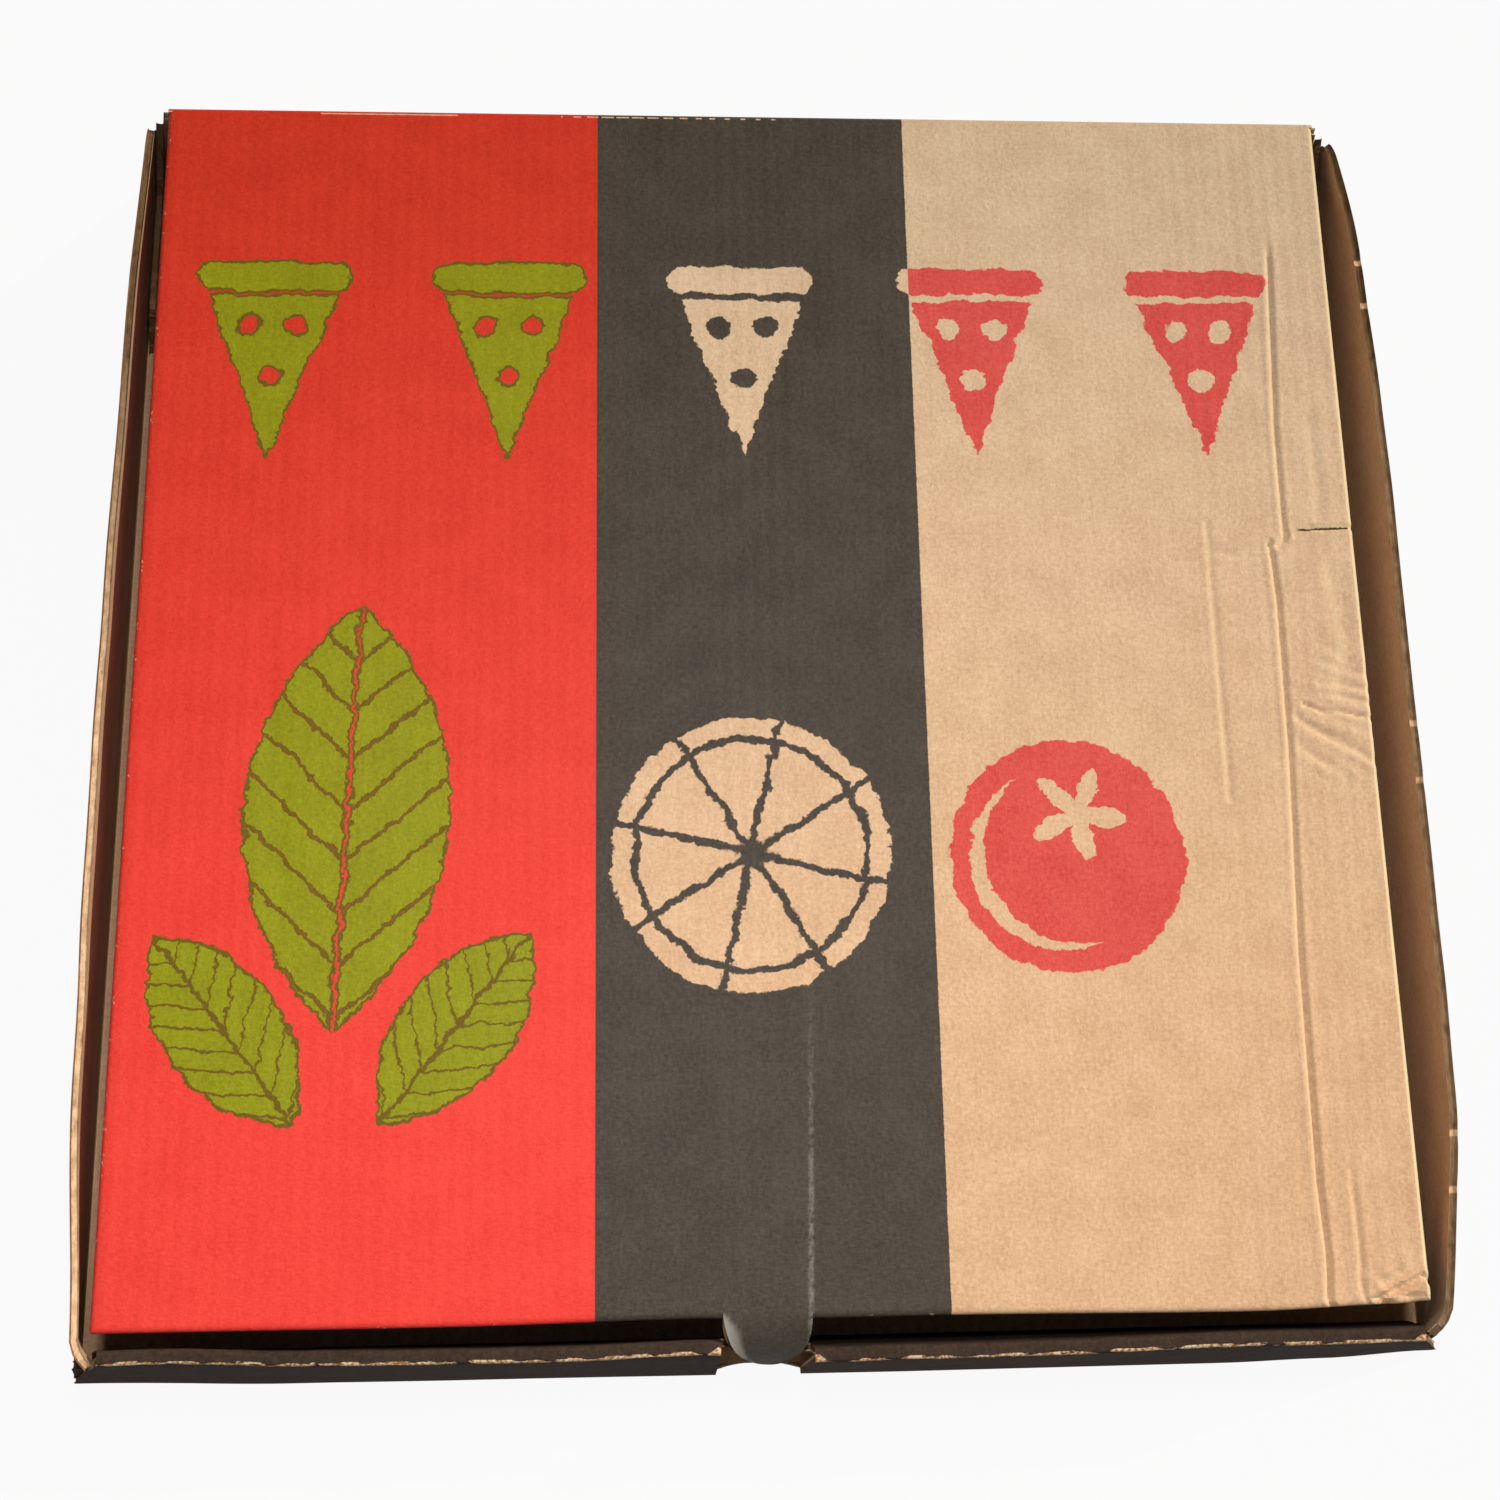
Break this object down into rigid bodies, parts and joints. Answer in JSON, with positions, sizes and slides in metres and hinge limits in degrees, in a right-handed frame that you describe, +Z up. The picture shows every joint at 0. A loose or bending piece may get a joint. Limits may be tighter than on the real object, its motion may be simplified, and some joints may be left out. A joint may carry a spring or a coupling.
{
  "type": "pizza box",
  "caption": "Square folding food box of fluted board: tray with leaning walls and rolled-over front, hinged lid with dust flaps, tuck flap and closing tongue.",
  "frame": {"origin": "middle of the base's underside", "axes": "+Z up, -Y towards the box's front with the tongue, +X to the right seen from the front"},
  "size_m": [0.28, 0.273, 0.04],
  "materials": {
    "tray_board": "matt brown fluted board, front wall printed black outside",
    "lid_board": "matt brown fluted board, printed on top with a red and a black stripe"
  },
  "bodies": {
    "tray": {"tray": "tray_board"},
    "lid": {"lid": "lid_board"}
  },
  "joints": [
    {"name": "lid_hinge", "type": "hinge", "parent": "tray", "child": "lid", "pos_m": [0, 0.12824, 0.0382], "axis": [-1, 0, 0], "range_deg": [0, 180]}
  ]
}
